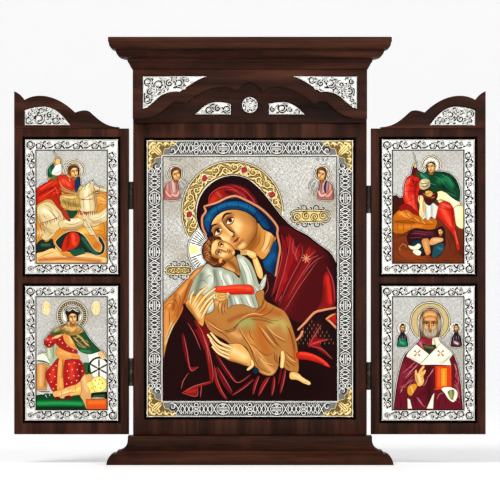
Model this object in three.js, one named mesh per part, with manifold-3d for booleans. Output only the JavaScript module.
// A standing wooden triptych with silver-clad icons, in millimetres.
// World frame: x to the right, y to the back, z up, origin under the middle of the base.
// Pieces are drawn as seen from the front: x right, y up, and z forwards from the flat back.

import * as THREE from 'three';
import { mergeVertices } from 'three/addons/utils/BufferGeometryUtils.js';
import Module from 'manifold-3d';

const wasm = await Module();
wasm.setup();

// Joinery
const boardThickness = 14;    // the middle board, back to front
const wingThickness = 11;
const seatGap = 0.05;         // between two pieces that touch
const edgeRound = 0.4;        // softened outer edges of the boards
const hingeGap = 3;           // between the middle board and an open wing
const closedGap = 3;          // between the two wings when they are shut
const closedFaceRoom = 1.2;   // between a shut wing and the middle board's face
const wingFootRoom = 0.7;     // between a wing's foot and the base

// Icons and their recesses
const mainIconWidth = 149.4;
const mainIconHeight = 200.2;
const recessDepth = 5.5;
const recessMargin = 1.7;     // between an icon's edge and the wall of its recess
const recessRound = 1.2;      // rounded mouth of a recess
const panelThickness = 3;
const coverThickness = 0.6;   // the pressed silver sheet
const reliefHeight = 0.6;     // how far its ornament stands up
const mainBorderWidth = 12.2;
const sideBorderWidth = 8.2;

// Rails and stiles left round the recesses
const middleStile = 8.1;
const middleBottomRail = 11.5;
const middleTopRail = 10.4;
const wingStile = 6.2;
const wingBottomRail = 8.2;
const wingCrossRail = 5.2;
const wingTopRail = 6.2;
const wingSeamDrop = 3.6;     // a wing's frame ends this far below the middle board's top

// Crest, tympanum and frieze
const crestRise = 26;         // the crest's peak above its thin end
const crestLip = 0.9;         // the crest's thin end, where its curve runs out
const crestRoom = 5.8;        // between a shut wing's crest and the frieze's edge
const friezeBand = 10;        // the frieze above its highest arch
const tympanumSetBack = 0.5;
const pocketDepth = 1.2;
const pocketMargin = 0.5;
const plateThickness = 0.8;
const plateRelief = 0.5;
const rimWidth = 0.8;
const medallionRadius = 5.8;
const medallionHeight = 17;   // its middle above the tops of the wings' frames

// Mouldings
const corniceHeight = 22.4;
const corniceReach = 17.4;
const baseHeight = 20.4;
const baseReach = 18.5;

// Hinges
const hingeLength = 20;
const knuckleCount = 5;
const knuckleRadius = 1.3;
const knuckleGap = 0.2;
const boreRadius = 0.8;
const pinRadius = 0.6;
const leafThickness = 0.8;
const leafWidth = 8;
const lowerHingeHeight = 45;  // middle of the lower hinge above the wing's foot, on the left
const upperHingeDrop = 48.5;  // middle of the upper hinge below the wing's top rail, on the left
const rightHingeDrop = 2.8;   // both hinges on the right are fixed this much lower

// Stones
const stoneRadius = 2.2;
const stoneHeight = 1;

// Sizes worked out from those above
const middleWidth = mainIconWidth + 2 * (recessMargin + middleStile);
const middleHeight = middleBottomRail + middleTopRail + mainIconHeight + 2 * recessMargin;
const wingWidth = (middleWidth - closedGap) / 2;
const wingHeight = middleHeight - wingSeamDrop - wingFootRoom;
const sideIconWidth = wingWidth - 2 * (wingStile + recessMargin);
const sideRecessHeight = (wingHeight - wingBottomRail - wingCrossRail - wingTopRail) / 2;
const sideIconHeight = sideRecessHeight - 2 * recessMargin;
const friezeThickness = wingThickness + closedFaceRoom + 0.3;
const carcassDepth = boardThickness + friezeThickness;
const totalDepth = carcassDepth + Math.max(corniceReach, baseReach);
const hingeX = middleWidth / 2 + hingeGap / 2;
const hingeZ = boardThickness + closedFaceRoom / 2;
const wingFoot = baseHeight + wingFootRoom;
const wingTop = wingFoot + wingHeight;
const middleTop = baseHeight + middleHeight;
const friezeTop = wingTop + crestLip + crestRise + crestRoom + friezeBand;
const panelFront = boardThickness - recessDepth + seatGap + panelThickness;
const coverBack = panelFront + seatGap;
const coverFront = coverBack + coverThickness;

const walnut = new THREE.MeshStandardMaterial({ color: 0x3a2019, roughness: 0.45, metalness: 0 });
const silver = new THREE.MeshStandardMaterial({ color: 0xd9d8d0, roughness: 0.3, metalness: 0.9 });
const gesso = new THREE.MeshStandardMaterial({ color: 0x7a3326, roughness: 0.45, metalness: 0 });
const bronze = new THREE.MeshStandardMaterial({ color: 0x2c2620, roughness: 0.4, metalness: 0.8 });
const garnet = new THREE.MeshStandardMaterial({ color: 0xa01018, roughness: 0.15, metalness: 0 });

const point = (x, y) => new THREE.Vector2(x, y);

// A closed geometry as a solid that can be joined and cut.
function solid(geometry) {
  const bare = geometry.index ? geometry.toNonIndexed() : geometry.clone();
  bare.deleteAttribute('normal');
  bare.deleteAttribute('uv');
  const merged = mergeVertices(bare, 1e-4);
  return new wasm.Manifold(new wasm.Mesh({
    numProp: 3,
    vertProperties: merged.getAttribute('position').array,
    triVerts: new Uint32Array(merged.index.array),
  }));
}

// A solid as a named mesh.
function piece(name, made, material) {
  const { numProp, vertProperties, triVerts } = made.getMesh();
  const vertices = new Float32Array(vertProperties.length / numProp * 3);
  for (let i = 0; i < vertices.length / 3; i++) {
    vertices.set(vertProperties.subarray(i * numProp, i * numProp + 3), i * 3);
  }
  const geometry = new THREE.BufferGeometry();
  geometry.setAttribute('position', new THREE.BufferAttribute(vertices, 3));
  geometry.setIndex(new THREE.BufferAttribute(triVerts, 1));
  geometry.computeVertexNormals();
  const mesh = new THREE.Mesh(geometry, material);
  mesh.name = name;
  return mesh;
}

// A flat outline given thickness from z = back to z = front.
function slab(outline, back, front) {
  const geometry = new THREE.ExtrudeGeometry(new THREE.Shape(outline), {
    depth: front - back,
    bevelEnabled: false,
  });
  geometry.translate(0, 0, back);
  return solid(geometry);
}

// The same, with the edges all round softened.
function softSlab(outline, back, front) {
  const geometry = new THREE.ExtrudeGeometry(new THREE.Shape(outline), {
    depth: front - back - 2 * edgeRound,
    bevelThickness: edgeRound,
    bevelSize: edgeRound,
    bevelOffset: -edgeRound,
    bevelSegments: 1,
  });
  geometry.translate(0, 0, back + edgeRound);
  return solid(geometry);
}

const rectangle = (left, right, bottom, top) => [
  point(left, bottom), point(right, bottom), point(right, top), point(left, top),
];

const centred = (width, height, x, y) => rectangle(x - width / 2, x + width / 2, y - height / 2, y + height / 2);

function circle(radius, sides, x = 0, y = 0) {
  return Array.from({ length: sides }, (_, i) => {
    const turn = 2 * Math.PI * i / sides;
    return point(x + radius * Math.cos(turn), y + radius * Math.sin(turn));
  });
}

// Turns an outline anticlockwise if it runs the other way.
function anticlockwise(outline) {
  return THREE.ShapeUtils.isClockWise(outline) ? outline.slice().reverse() : outline;
}

// An outline moved outwards by a distance, with its sharp corners cut short.
function grown(outline, distance) {
  const ring = anticlockwise(outline);
  return ring.map((here, i) => {
    const before = ring[(i + ring.length - 1) % ring.length];
    const after = ring[(i + 1) % ring.length];
    const inward = here.clone().sub(before).normalize();
    const outward = after.clone().sub(here).normalize();
    const normal = point(inward.y + outward.y, -inward.x - outward.x).normalize();
    const stretch = Math.min(1 / Math.max(normal.dot(point(inward.y, -inward.x)), 0.1), 1.6);
    return here.clone().addScaledVector(normal, distance * stretch);
  });
}

const union = (parts) => parts.reduce((sum, next) => sum.add(next));

// A solid from a stack of rings, which turn anticlockwise as seen from the stack's far end.
function stack(rings) {
  const faces = [];
  const corners = rings[0].length;
  for (let level = 0; level + 1 < rings.length; level++) {
    for (let corner = 0; corner < corners; corner++) {
      const a = level * corners + corner;
      const b = level * corners + (corner + 1) % corners;
      faces.push(a, b, b + corners, a, b + corners, a + corners);
    }
  }
  const last = (rings.length - 1) * corners;
  for (let corner = 1; corner + 1 < corners; corner++) {
    faces.push(0, corner + 1, corner);
    faces.push(last, last + corner, last + corner + 1);
  }
  const geometry = new THREE.BufferGeometry();
  geometry.setAttribute('position', new THREE.Float32BufferAttribute(rings.flat(2), 3));
  geometry.setIndex(faces);
  return solid(geometry);
}

// A moulding with a flat back that runs round the front and both sides.
// The profile gives how far it reaches past the boards, and the height.
function moulding(profile) {
  const half = middleWidth / 2;
  return stack(profile.map(([reach, height]) => [
    [-half - reach, height, 0],
    [-half - reach, height, carcassDepth + reach],
    [half + reach, height, carcassDepth + reach],
    [half + reach, height, 0],
  ]));
}

// A pressed ridge along a line of points: sharp above, and its feet sunk under the sheet's face.
function ridge(line, width, face, height) {
  const foot = face - height * 0.3;
  return stack(line.map((here, i) => {
    const before = line[Math.max(i - 1, 0)];
    const after = line[Math.min(i + 1, line.length - 1)];
    const along = after.clone().sub(before).normalize();
    const [x, y] = [-along.y * width * 0.65, along.x * width * 0.65];
    return [[here.x - x, here.y - y, foot], [here.x + x, here.y + y, foot], [here.x, here.y, face + height]];
  }));
}

// A quarter of an ellipse between two profile points, which leaves the first one upwards or sideways.
function quarter(from, to, upwards, steps = 4) {
  return Array.from({ length: steps + 1 }, (_, i) => {
    const turn = Math.PI / 2 * i / steps;
    const [a, b] = upwards ? [1 - Math.cos(turn), Math.sin(turn)] : [Math.sin(turn), 1 - Math.cos(turn)];
    return [from[0] + (to[0] - from[0]) * a, from[1] + (to[1] - from[1]) * b];
  });
}

// Cornice: a splay, two round steps that each reach further, and a square top edge.
function corniceProfile() {
  const share = (reach, height) => [reach * corniceReach, friezeTop + seatGap + height * corniceHeight];
  return [
    share(0.04, 0),
    share(0.17, 0.18),
    share(0.22, 0.3),
    ...quarter(share(0.26, 0.32), share(0.69, 0.57), false),
    share(0.7, 0.6),
    ...quarter(share(0.74, 0.61), share(0.97, 0.81), false),
    share(1, 0.83),
    share(1, 1),
  ];
}

// Base: a round lower edge, a step, a hollow and a square top edge.
function baseProfile() {
  const share = (reach, height) => [reach * baseReach, height * (baseHeight - seatGap)];
  return [
    ...quarter(share(1, 0), share(0.65, 0.4), true),
    share(0.61, 0.4),
    share(0.6, 0.47),
    ...quarter(share(0.56, 0.49), share(0.19, 0.88), false),
    share(0.19, 1),
  ];
}

// The crest's curve from the shutting edge towards the hinge, in shares of the wing's width and the rise.
function crestCurve() {
  const path = new THREE.Path();
  path.moveTo(0, 1);
  path.quadraticCurveTo(0.053, 0.94, 0.09, 0.754);
  path.bezierCurveTo(0.18, 0.952, 0.36, 0.952, 0.532, 0.407);
  path.bezierCurveTo(0.58, 0.47, 0.632, 0.5, 0.663, 0.418);
  path.bezierCurveTo(0.735, 0.216, 0.795, 0.007, 0.916, 0);
  return path.curves.flatMap((curve, i) => curve.getPoints([3, 10, 4, 7][i]).slice(i ? 1 : 0))
    .map((p) => point(p.x * wingWidth, p.y * crestRise));
}

// Wing crest, standing on the wing's frame. Side is -1 on the left and 1 on the right.
function crestOutline(side) {
  const free = hingeX + hingeGap / 2 + wingWidth;
  const foot = wingTop + seatGap;
  const top = crestCurve().map((p) => point(side * (free - p.x), foot + crestLip + p.y));
  return [...top, point(top[top.length - 1].x, foot), point(side * free, foot)];
}

// Frieze: its lower edge repeats both crests, folded over, with room between.
function friezeOutline() {
  const half = middleWidth / 2;
  const edge = crestCurve().map((p) => point(closedGap / 2 + p.x, wingTop + crestLip + crestRoom + p.y));
  const right = [...edge, point(half, edge[edge.length - 1].y)];
  const left = right.map((p) => point(-p.x, p.y)).reverse();
  return [...left, ...right, point(half, friezeTop), point(-half, friezeTop)];
}

// Small silver plates, as shares of the wing's width and of the crest's rise above the wing's frame.
function plateOutline(kind, side) {
  const path = new THREE.Path();
  const draw = {
    spandrel() {
      path.moveTo(0.93, 1.43);
      path.lineTo(0.93, 0.54);
      path.bezierCurveTo(0.88, 0.57, 0.83, 0.74, 0.795, 0.845);
      path.bezierCurveTo(0.745, 0.98, 0.67, 1.03, 0.612, 1);
      path.bezierCurveTo(0.55, 1.13, 0.46, 1.36, 0.375, 1.43);
    },
    halfMoon() {
      path.moveTo(0.166, 0.39);
      path.lineTo(0.476, 0.39);
      path.bezierCurveTo(0.41, 0.62, 0.34, 0.85, 0.166, 0.68);
    },
    crest() {
      path.moveTo(0.093, 0.09);
      path.lineTo(0.488, 0.09);
      path.bezierCurveTo(0.42, 0.4, 0.34, 0.64, 0.242, 0.606);
      path.quadraticCurveTo(0.16, 0.58, 0.093, 0.5);
    },
  };
  draw[kind]();
  const places = path.curves.flatMap((curve, i) => curve.getPoints(curve.isLineCurve ? 1 : 4).slice(i ? 1 : 0));
  const first = places[0];
  const last = places[places.length - 1];
  if (first.distanceTo(last) < 1e-6) places.pop();
  const free = hingeX + hingeGap / 2 + wingWidth;
  return anticlockwise(places.map((p) => {
    const across = kind === 'crest' ? free - p.x * wingWidth : p.x * wingWidth;
    return point(side * across, wingTop + p.y * crestRise);
  }));
}

// Spiral scroll from its eye outwards, as a line of points.
function scroll(x, y, radius, turns, start, hand, steps = 5) {
  return Array.from({ length: steps + 1 }, (_, i) => {
    const share = i / steps;
    const turn = start + hand * share * turns * 2 * Math.PI;
    const reach = radius * (0.3 + 0.7 * share);
    return point(x + reach * Math.cos(turn), y + reach * Math.sin(turn));
  });
}

// Silver plate with a raised rim and scrolls, lying in its pocket with its back at z = back.
function silverPlate(outline, back, scrolls) {
  const front = back + plateThickness;
  const blank = slab(outline, back, front);
  const field = slab(grown(outline, -rimWidth), front, front + 2 * plateRelief);
  const rim = slab(outline, front - plateThickness / 2, front + plateRelief).subtract(field);
  const leaves = scrolls.map((line) => ridge(line, rimWidth * 1.3, front, plateRelief * 0.9));
  return union([blank, rim, ...leaves]);
}

// Recess for an icon: a straight pocket with a rounded mouth.
function recess(icon) {
  const mouth = [0, 0.5, 0.87, 1].map((rise) => [
    recessRound * (1 - Math.sqrt(1 - rise * rise)), boardThickness - recessRound * (1 - rise),
  ]);
  const levels = [[0, boardThickness - recessDepth], ...mouth, [recessRound, boardThickness + 1]];
  return stack(levels.map(([open, z]) => centred(
    icon.width + 2 * (recessMargin + open), icon.height + 2 * (recessMargin + open), icon.x, icon.y,
  ).map((p) => [p.x, p.y, z])));
}

const pocketFor = (outline, face) => slab(grown(outline, pocketMargin), face - pocketDepth, face + 1);

// Picture coordinates: shares of the picture's width and height from its middle.
function placed(shares, box) {
  return shares.map(([u, v]) => point(box.x + u * box.width, box.y + v * box.height));
}

// A smooth outline through points given as shares of the picture.
function flowing(shares, box, steps) {
  const knots = placed(shares, box).map((p) => new THREE.Vector3(p.x, p.y, 0));
  return new THREE.CatmullRomCurve3(knots, false, 'centripetal').getPoints(steps)
    .map((p) => point(p.x, p.y));
}

// The bed of a picture inside its silver border.
function pictureOf(icon) {
  return {
    x: icon.x,
    y: icon.y,
    width: icon.width - 2 * icon.border,
    height: icon.height - 2 * icon.border,
  };
}

// The four straight runs of a border: where each starts, which way it goes and how long it is.
function borderRuns(icon) {
  const inset = icon.border * 0.52;
  const across = icon.width - 2 * icon.corner;
  const up = icon.height - 2 * icon.corner;
  const left = icon.x - icon.width / 2;
  const bottom = icon.y - icon.height / 2;
  return [
    { start: point(left + icon.corner, bottom + inset), along: point(1, 0), length: across },
    { start: point(left + icon.width - inset, bottom + icon.corner), along: point(0, 1), length: up },
    { start: point(left + icon.width - icon.corner, bottom + icon.height - inset), along: point(-1, 0), length: across },
    { start: point(left + inset, bottom + icon.height - icon.corner), along: point(0, -1), length: up },
  ];
}

// A waving line along one run of a border.
function wave(run, period, swing, phase, steps) {
  const count = Math.max(1, Math.round(run.length / period));
  return Array.from({ length: count * steps + 1 }, (_, i) => {
    const share = i / (count * steps);
    const side = swing * Math.sin(2 * Math.PI * count * share + phase);
    return run.start.clone()
      .addScaledVector(run.along, share * run.length)
      .add(point(-run.along.y * side, run.along.x * side));
  });
}

// Border ornament: a strand that waves along each side.
function borderRelief(icon) {
  return borderRuns(icon).map((run) => ridge(
    wave(run, icon.period, icon.border * 0.34, Math.PI / 4, 4),
    icon.border * 0.13,
    coverFront,
    reliefHeight * 0.9,
  ));
}

// Raised rims at the outer and inner edge of a border.
function borderRims(icon) {
  const { x, y, width, height, border } = icon;
  const rim = icon.border * 0.1;
  const frame = (outerW, outerH, high) => slab(centred(outerW, outerH, x, y), coverFront - coverThickness / 2, coverFront + high)
    .subtract(slab(centred(outerW - 2 * rim, outerH - 2 * rim, x, y), coverBack - 1, coverFront + 3));
  const within = 2 * (border - rim);
  return [
    frame(width, height, reliefHeight * 0.8),
    frame(width - within, height - within, reliefHeight),
  ];
}

// Corner leaf of the large icon's border: a wedge with hollow sides.
function cornerLeaf(icon, sx, sy) {
  const reach = icon.corner * 0.95;
  const rim = icon.border * 0.1;
  const x = icon.x + sx * (icon.width / 2 - rim);
  const y = icon.y + sy * (icon.height / 2 - rim);
  const path = new THREE.Path();
  path.moveTo(0, 0);
  path.lineTo(reach, 0);
  path.quadraticCurveTo(reach * 0.42, reach * 0.12, reach * 0.46, reach * 0.46);
  path.quadraticCurveTo(reach * 0.12, reach * 0.42, 0, reach);
  const outline = path.curves.flatMap((curve, i) => curve.getPoints(curve.isLineCurve ? 1 : 3).slice(i ? 1 : 0))
    .map((p) => point(x - sx * p.x, y - sy * p.y));
  return slab(anticlockwise(outline), coverFront - coverThickness / 2, coverFront + reliefHeight * 0.9);
}

// Halo: a raised ring, clipped later by the figure's opening.
function haloRing(box, halo, sides) {
  const [u, v] = halo.centre;
  const x = box.x + u * box.width;
  const y = box.y + v * box.height;
  const outer = halo.outer * box.width;
  const inner = halo.inner * box.width;
  return slab(circle(outer, sides, x, y), coverFront - coverThickness / 2, coverFront + reliefHeight * 0.8)
    .subtract(slab(circle(inner, sides, x, y), coverBack - 1, coverFront + 3));
}

// Pressed cartouche: a low bar with clipped ends and a smaller bar on top.
function cartouche(box, [u, v], width, height) {
  const x = box.x + u * box.width;
  const y = box.y + v * box.height;
  const bar = (w, h) => [
    point(x - w / 2, y), point(x - w / 2 + h / 3, y - h / 2), point(x + w / 2 - h / 3, y - h / 2),
    point(x + w / 2, y), point(x + w / 2 - h / 3, y + h / 2), point(x - w / 2 + h / 3, y + h / 2),
  ];
  const foot = coverFront - coverThickness / 2;
  const w = width * box.width;
  const h = height * box.height;
  return slab(bar(w, h), foot, coverFront + reliefHeight * 0.6).add(slab(bar(w * 0.82, h * 0.6), foot, coverFront + reliefHeight));
}

// The silver cover of one icon: a sheet with openings for the painting, and its relief.
function cover(icon) {
  const box = pictureOf(icon);
  const sheet = slab(centred(icon.width, icon.height, icon.x, icon.y), coverBack, coverFront);
  const corners = icon.cornered
    ? [[1, 1], [1, -1], [-1, 1], [-1, -1]].map(([sx, sy]) => cornerLeaf(icon, sx, sy))
    : [];
  const bars = (icon.cartouches || []).map(({ at, width, height }) => cartouche(box, at, width, height));
  const halos = icon.halos.map((halo) => haloRing(box, halo, halo.sides));
  const openings = icon.openings.map((outline) => slab(
    anticlockwise(outline(box)), coverBack - 1, coverFront + 3,
  ));
  const ground = union([sheet, ...bars, ...halos]).subtract(union(openings));
  return union([ground, ...borderRims(icon), ...borderRelief(icon), ...corners]);
}

const panel = (icon) => slab(
  centred(icon.width, icon.height, icon.x, icon.y), panelFront - panelThickness, panelFront,
);

// An opening whose foot fills the picture's bed, under a flowing line from left to right.
function figureOpening(shares, steps) {
  return (box) => {
    const line = flowing(shares, box, steps);
    const left = box.x - box.width / 2;
    const right = box.x + box.width / 2;
    const bottom = box.y - box.height / 2;
    return [
      point(left, bottom), point(right, bottom), point(right, line[line.length - 1].y),
      ...line.slice(1, -1).reverse(), point(left, line[0].y),
    ];
  };
}

// A small bust-shaped opening.
function bustOpening([u, v], width, height) {
  return (box) => {
    const x = box.x + u * box.width;
    const y = box.y + v * box.height;
    const w = width * box.width / 2;
    const h = height * box.height / 2;
    return [
      [-1, -1], [1, -1], [1, -0.2], [0.55, 0.25], [0.5, 0.8], [0.2, 1],
      [-0.2, 1], [-0.5, 0.8], [-0.55, 0.25], [-1, -0.2],
    ].map(([a, b]) => point(x + a * w, y + b * h));
  };
}

// Large icon: a veiled mother leaning to the child in her arms.
const motherAndChild = [
  [-0.5, -0.095], [-0.41, -0.035], [-0.36, 0.01], [-0.315, 0.05], [-0.27, 0.066], [-0.278, 0.116],
  [-0.258, 0.154], [-0.247, 0.171], [-0.284, 0.22], [-0.306, 0.275], [-0.29, 0.337], [-0.222, 0.396],
  [-0.17, 0.414], [-0.102, 0.421], [-0.015, 0.406], [0.033, 0.379], [0.112, 0.312], [0.191, 0.25],
  [0.279, 0.197], [0.386, 0.144], [0.474, 0.097], [0.495, 0.07], [0.5, 0.044],
];
const mainIcon = {
  x: 0,
  y: baseHeight + middleBottomRail + recessMargin + mainIconHeight / 2,
  width: mainIconWidth,
  height: mainIconHeight,
  border: mainBorderWidth,
  corner: mainBorderWidth * 1.75,
  period: 19.4,
  cornered: true,
  halos: [
    { centre: [-0.102, 0.276], outer: 0.295, inner: 0.205, sides: 36 },
    { centre: [-0.214, 0.12], outer: 0.15, inner: 0.085, sides: 20 },
  ],
  cartouches: [
    { at: [0.343, 0.249], width: 0.194, height: 0.048 },
    { at: [-0.41, 0.034], width: 0.152, height: 0.032 },
  ],
  openings: [
    figureOpening(motherAndChild, 36),
    bustOpening([-0.43, 0.378], 0.13, 0.185),
    bustOpening([0.42, 0.378], 0.13, 0.185),
  ],
};

// Small icons, each with the line between its silver ground and its painting.
const rider = [
  [-0.5, 0.17], [-0.4, 0.21], [-0.32, 0.26], [-0.34, 0.34], [-0.28, 0.4], [-0.2, 0.44], [-0.16, 0.38],
  [-0.14, 0.29], [-0.06, 0.29], [-0.05, 0.36], [0.02, 0.4], [0.1, 0.37], [0.12, 0.29], [0.13, 0.2],
  [0.2, 0.19], [0.28, 0.23], [0.36, 0.17], [0.5, 0.13],
];
const enthroned = [
  [-0.5, -0.02], [-0.42, -0.01], [-0.36, 0.03], [-0.39, 0.1], [-0.34, 0.17], [-0.22, 0.25], [-0.1, 0.28],
  [-0.09, 0.37], [0, 0.42], [0.09, 0.37], [0.08, 0.27], [0.18, 0.2], [0.28, 0.1], [0.38, 0.03], [0.5, 0],
];
const secondRider = [
  [-0.5, 0.11], [-0.38, 0.09], [-0.35, 0.2], [-0.28, 0.28], [-0.22, 0.3], [-0.2, 0.4], [-0.16, 0.34],
  [-0.1, 0.32], [-0.04, 0.33], [-0.02, 0.4], [0.06, 0.42], [0.11, 0.37], [0.13, 0.33], [0.26, 0.32],
  [0.38, 0.27], [0.44, 0.17], [0.46, 0.05], [0.5, 0.03],
];
const bishop = [
  [-0.5, -0.46], [-0.46, -0.22], [-0.4, -0.06], [-0.33, 0.04], [-0.2, 0.11], [-0.14, 0.15], [-0.14, 0.3],
  [-0.1, 0.38], [0, 0.41], [0.1, 0.38], [0.15, 0.3], [0.16, 0.13], [0.22, 0.12], [0.36, 0.03],
  [0.43, -0.06], [0.48, -0.25], [0.5, -0.46],
];

// One small icon of a wing. Side is -1 or 1, row 0 is the lower and 1 the upper.
function sideIcon(side, row, line, halos, others = []) {
  const pitch = sideRecessHeight + wingCrossRail;
  return {
    x: side * (hingeX + hingeGap / 2 + wingWidth / 2),
    y: wingFoot + wingBottomRail + sideRecessHeight / 2 + row * pitch,
    width: sideIconWidth,
    height: sideIconHeight,
    border: sideBorderWidth,
    corner: sideBorderWidth,
    period: 12.5,
    cornered: false,
    halos,
    openings: [figureOpening(line, 24), ...others],
  };
}
const sideIcons = {
  upper_left: sideIcon(-1, 1, rider, [{ centre: [0.03, 0.31], outer: 0.16, inner: 0.105, sides: 18 }]),
  lower_left: sideIcon(-1, 0, enthroned, [{ centre: [0, 0.33], outer: 0.21, inner: 0.125, sides: 18 }]),
  upper_right: sideIcon(1, 1, secondRider, [{ centre: [0.04, 0.34], outer: 0.145, inner: 0.1, sides: 18 }]),
  lower_right: sideIcon(1, 0, bishop, [{ centre: [0.01, 0.26], outer: 0.29, inner: 0.19, sides: 20 }], [
    bustOpening([-0.37, 0.16], 0.2, 0.22),
    bustOpening([0.39, 0.17], 0.2, 0.22),
  ]),
};

// Stones round the large halo, at these turns in degrees from its right-hand side.
const stoneTurns = [23, 74, 130, 184];

function stone(index) {
  const [u, v] = mainIcon.halos[0].centre;
  const box = pictureOf(mainIcon);
  const reach = (mainIcon.halos[0].outer + mainIcon.halos[0].inner) / 2 * box.width;
  const turn = THREE.MathUtils.degToRad(stoneTurns[index]);
  const profile = [[0, 0], [1, 0], [0.92, 0.4], [0.6, 0.85], [0, 1]]
    .map(([r, h]) => point(r * stoneRadius, h * stoneHeight));
  const mesh = new THREE.Mesh(new THREE.LatheGeometry(profile, 10), garnet);
  mesh.name = `halo_stone_${index + 1}`;
  mesh.rotation.x = Math.PI / 2;
  mesh.position.set(
    box.x + u * box.width + reach * Math.cos(turn),
    box.y + v * box.height + reach * Math.sin(turn),
    coverFront + reliefHeight * 0.8 + seatGap,
  );
  return mesh;
}

// A round tube or rod along y, from its foot to its top.
function rod(radius, x, z, foot, top, sides) {
  const geometry = new THREE.CylinderGeometry(radius, radius, top - foot, sides);
  geometry.translate(x, (foot + top) / 2, z);
  return solid(geometry);
}

// A leaf with its knuckles. Part 0 is screwed to the middle board, and part 1 to the wing.
function hingeLeaf(side, part, height) {
  const foot = height - hingeLength / 2;
  const pitch = hingeLength / knuckleCount;
  const wall = part ? hingeX + hingeGap / 2 - seatGap : hingeX - hingeGap / 2 + seatGap;
  const inner = part ? wall - leafThickness : wall + leafThickness;
  const [near, far] = [wall, inner].map((x) => side * x).sort((a, b) => a - b);
  const plateFront = hingeZ - knuckleRadius - 0.4;
  const flat = slab(rectangle(near, far, foot, foot + hingeLength), plateFront - leafWidth, plateFront);
  const made = [flat];
  for (let k = part; k < knuckleCount; k += 2) {
    const low = foot + k * pitch + (k ? knuckleGap / 2 : 0);
    const high = foot + (k + 1) * pitch - (k + 1 < knuckleCount ? knuckleGap / 2 : 0);
    made.push(slab(rectangle(near, far, low, high), plateFront - 1, hingeZ));
    made.push(rod(knuckleRadius, side * hingeX, hingeZ, low, high, 8));
  }
  const bore = rod(boreRadius, side * hingeX, hingeZ, foot - 1, foot + hingeLength + 1, 6);
  return union(made).subtract(bore);
}

const hingePin = (side, height) => rod(
  pinRadius, side * hingeX, hingeZ, height - hingeLength / 2, height + hingeLength / 2, 6,
);

function hingeHeights(side) {
  const drop = side > 0 ? rightHingeDrop : 0;
  return { lower: wingFoot + lowerHingeHeight - drop, upper: wingTop - upperHingeDrop - drop };
}

// The middle part: boards, mouldings, the large icon and the plates round the arch.
function middle() {
  const group = new THREE.Group();
  const half = middleWidth / 2;
  const board = softSlab(rectangle(-half, half, baseHeight + seatGap, middleTop), 0, boardThickness)
    .subtract(recess(mainIcon));
  group.add(piece('middle_board', board, walnut));
  group.add(piece('base', moulding(baseProfile()), walnut));
  group.add(piece('cornice', moulding(corniceProfile()), walnut));

  const tympanumFace = boardThickness - tympanumSetBack;
  const friezeFace = boardThickness + friezeThickness;
  const moons = { left: plateOutline('halfMoon', -1), right: plateOutline('halfMoon', 1) };
  const spandrels = { left: plateOutline('spandrel', -1), right: plateOutline('spandrel', 1) };
  const badge = circle(medallionRadius, 16, 0, wingTop + medallionHeight);
  const tympanum = [...Object.values(moons), badge].reduce(
    (board, outline) => board.subtract(pocketFor(outline, tympanumFace)),
    slab(rectangle(-half, half, middleTop + seatGap, friezeTop), 0, tympanumFace),
  );
  group.add(piece('tympanum', tympanum, walnut));
  const frieze = Object.values(spandrels).reduce(
    (board, outline) => board.subtract(pocketFor(outline, friezeFace)),
    softSlab(anticlockwise(friezeOutline()), tympanumFace + seatGap, friezeFace),
  );
  group.add(piece('frieze', frieze, walnut));

  for (const [name, side] of [['left', -1], ['right', 1]]) {
    const moonScrolls = [[0.26, 0.55, 0.032, 1]];
    const spandrelScrolls = [[0.855, 1.16, 0.042, 1], [0.72, 1.22, 0.036, -1], [0.6, 1.25, 0.026, 1]];
    const lines = (list) => list.map(([u, v, r, hand]) => scroll(
      side * u * wingWidth, wingTop + v * crestRise, r * wingWidth, 1.1, Math.PI / 2, side * hand,
    ));
    group.add(piece(`half_moon_plate_${name}`, silverPlate(
      moons[name], tympanumFace - pocketDepth + seatGap, lines(moonScrolls),
    ), silver));
    group.add(piece(`spandrel_plate_${name}`, silverPlate(
      spandrels[name], friezeFace - pocketDepth + seatGap, lines(spandrelScrolls),
    ), silver));
  }
  group.add(piece('medallion', silverPlate(badge, tympanumFace - pocketDepth + seatGap, [
    scroll(0, wingTop + medallionHeight, medallionRadius * 0.5, 1, 0, 1),
  ]), silver));

  group.add(piece('main_icon_panel', panel(mainIcon), gesso));
  group.add(piece('main_icon_cover', cover(mainIcon), silver));
  stoneTurns.forEach((_, i) => group.add(stone(i)));
  return group;
}

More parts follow.
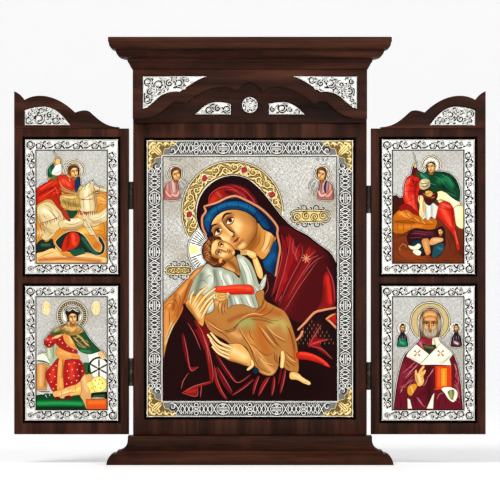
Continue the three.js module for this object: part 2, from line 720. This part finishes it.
// A wing: its board with two recesses, its crest, two icons and the crest's plate.
function wing(name, side) {
  const group = new THREE.Group();
  const near = hingeX + hingeGap / 2;
  const [left, right] = [side * near, side * (near + wingWidth)].sort((a, b) => a - b);
  const back = boardThickness - wingThickness;
  const icons = ['upper', 'lower'].map((row) => [row, sideIcons[`${row}_${name}`]]);
  const board = icons.reduce(
    (rest, [, icon]) => rest.subtract(recess(icon)),
    softSlab(rectangle(left, right, wingFoot, wingTop), back, boardThickness),
  );
  group.add(piece(`${name}_wing_board`, board, walnut));
  const plate = plateOutline('crest', side);
  const crest = softSlab(anticlockwise(crestOutline(side)), back, boardThickness)
    .subtract(pocketFor(plate, boardThickness));
  group.add(piece(`${name}_wing_crest`, crest, walnut));
  const free = near + wingWidth;
  const scrolls = [[0.17, 0.3, 0.04, 1], [0.27, 0.3, 0.034, -1], [0.36, 0.22, 0.02, 1]].map(
    ([u, v, r, hand]) => scroll(
      side * (free - u * wingWidth), wingTop + v * crestRise, r * wingWidth, 1.1, Math.PI / 2, side * hand,
    ),
  );
  group.add(piece(`crest_plate_${name}`, silverPlate(
    plate, boardThickness - pocketDepth + seatGap, scrolls,
  ), silver));
  for (const [row, icon] of icons) {
    group.add(piece(`${row}_${name}_icon_panel`, panel(icon), gesso));
    group.add(piece(`${row}_${name}_icon_cover`, cover(icon), silver));
  }
  return group;
}

function hinges(name, side) {
  const group = new THREE.Group();
  for (const [row, height] of Object.entries(hingeHeights(side))) {
    group.add(piece(`${row}_${name}_hinge_fixed_leaf`, hingeLeaf(side, 0, height), bronze));
    group.add(piece(`${row}_${name}_hinge_wing_leaf`, hingeLeaf(side, 1, height), bronze));
    group.add(piece(`${row}_${name}_hinge_pin`, hingePin(side, height), bronze));
  }
  return group;
}

const triptych = new THREE.Group();
triptych.add(middle(), wing('left', -1), wing('right', 1), hinges('left', -1), hinges('right', 1));
triptych.rotation.x = Math.PI / 2;
triptych.position.y = totalDepth / 2;

const root = new THREE.Group();
root.add(triptych);
export default root;
